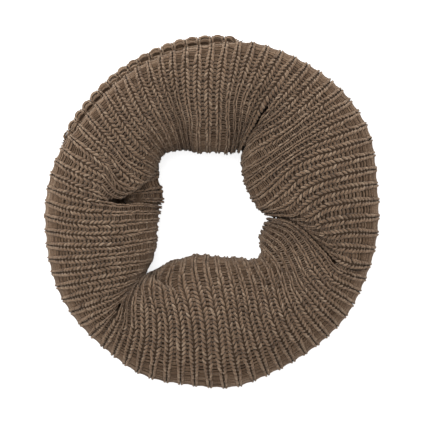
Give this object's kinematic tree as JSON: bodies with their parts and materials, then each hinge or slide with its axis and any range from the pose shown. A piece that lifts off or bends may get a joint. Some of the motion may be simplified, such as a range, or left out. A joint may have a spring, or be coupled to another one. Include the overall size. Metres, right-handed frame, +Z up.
{
  "type": "infinity scarf",
  "caption": "Chunky rib knit infinity scarf, a closed loop gathered into a soft ring that lies flat, with an open centre and deep folds.",
  "frame": {"origin": "middle of the ring's outline, on the surface that it lies on", "axes": "+Z up out of the surface, +Y along the ring's longer width, +X to the right seen from above"},
  "size_m": [0.3363, 0.3538, 0.0778],
  "materials": {
    "rib_knit": "matt taupe brown wool, soft and slightly fuzzy, one-by-one rib",
    "inner_knit": "the same wool in the layers rolled up inside"
  },
  "bodies": {
    "root": {"stretch_top": "rib_knit", "stretch_left": "rib_knit", "stretch_bottom": "rib_knit", "stretch_right": "rib_knit", "under_layer": "rib_knit", "hidden_layers": "inner_knit"}
  },
  "joints": []
}
